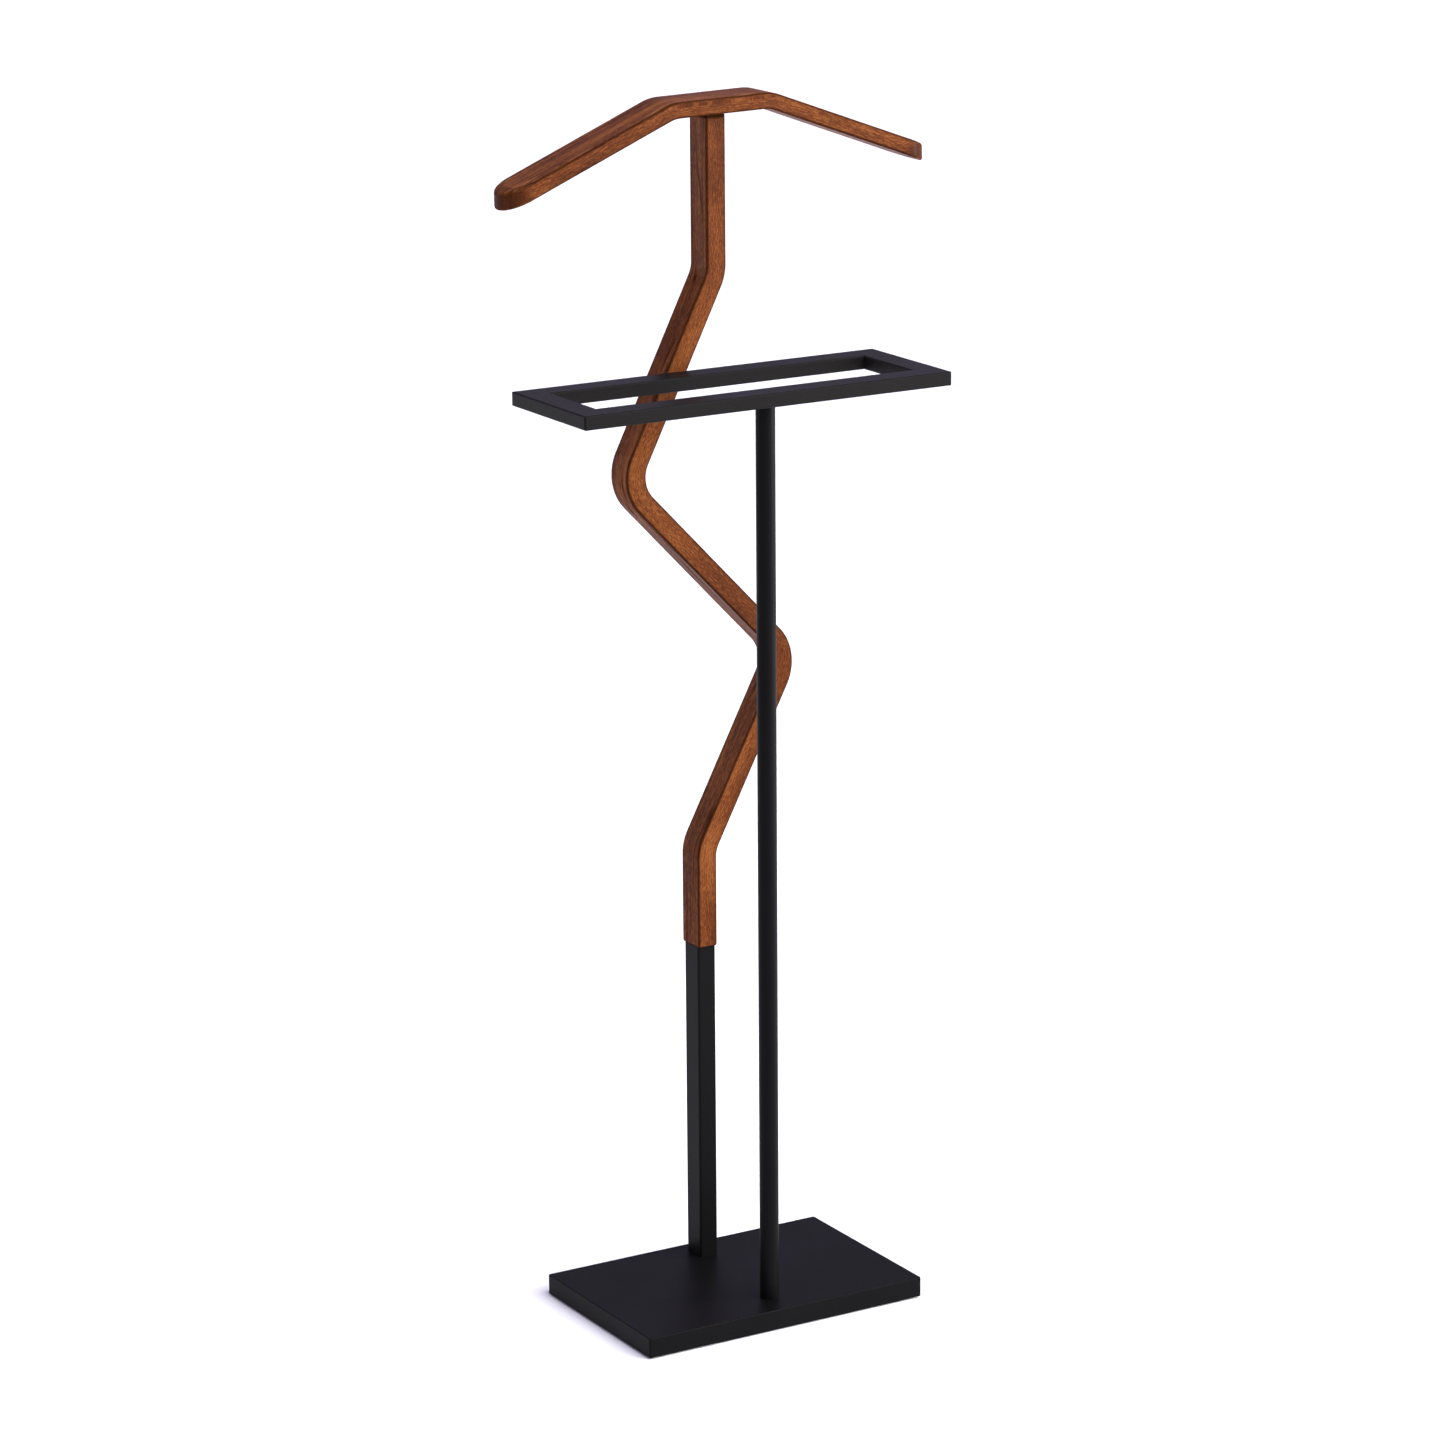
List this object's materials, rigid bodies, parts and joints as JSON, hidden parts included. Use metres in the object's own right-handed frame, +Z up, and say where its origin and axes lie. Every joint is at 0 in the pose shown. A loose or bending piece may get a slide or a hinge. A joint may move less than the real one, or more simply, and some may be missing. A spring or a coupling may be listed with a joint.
{
  "type": "valet stand",
  "caption": "Floor-standing clothes valet with a flat black steel base, a rectangular trouser frame and a bent-wood zigzag post carrying a wooden shoulder bar.",
  "frame": {"origin": "on the floor, under the middle of the rectangular base", "axes": "+Z up, +X to the right as the stand is used, along the base's long side and the shoulder bar, -Y towards the user"},
  "size_m": [0.4721, 0.205, 1.2027],
  "materials": {
    "black_steel": "matte black powder coat",
    "walnut_lacquer": "walnut-brown stained laminated wood under satin lacquer",
    "base_board": "raw fibreboard",
    "dowel_wood": "raw beech",
    "zinc_steel": "bright zinc plate",
    "felt": "dense black felt"
  },
  "bodies": {
    "root": {"base_cover": "black_steel", "base_core": "base_board", "base_bottom_panel": "black_steel", "base_panel_screws": "zinc_steel", "floor_pad": "felt", "rear_tube": "black_steel", "rear_tube_foot_block": "zinc_steel", "rear_tube_bolts": "zinc_steel", "rear_tube_washers": "zinc_steel", "front_tube": "black_steel", "front_tube_foot_plug": "zinc_steel", "front_tube_bolt": "zinc_steel", "front_tube_washer": "zinc_steel", "front_tube_top_plug": "zinc_steel", "front_rail_stud": "zinc_steel", "front_rail_nut": "zinc_steel", "front_rail": "black_steel", "rear_rail": "black_steel", "left_rail": "black_steel", "right_rail": "black_steel", "bent_post": "walnut_lacquer", "tenon_screws": "zinc_steel", "rear_rail_screws": "zinc_steel", "rear_rail_nuts": "zinc_steel", "hanger_bar": "walnut_lacquer", "hanger_dowels": "dowel_wood"}
  },
  "joints": []
}
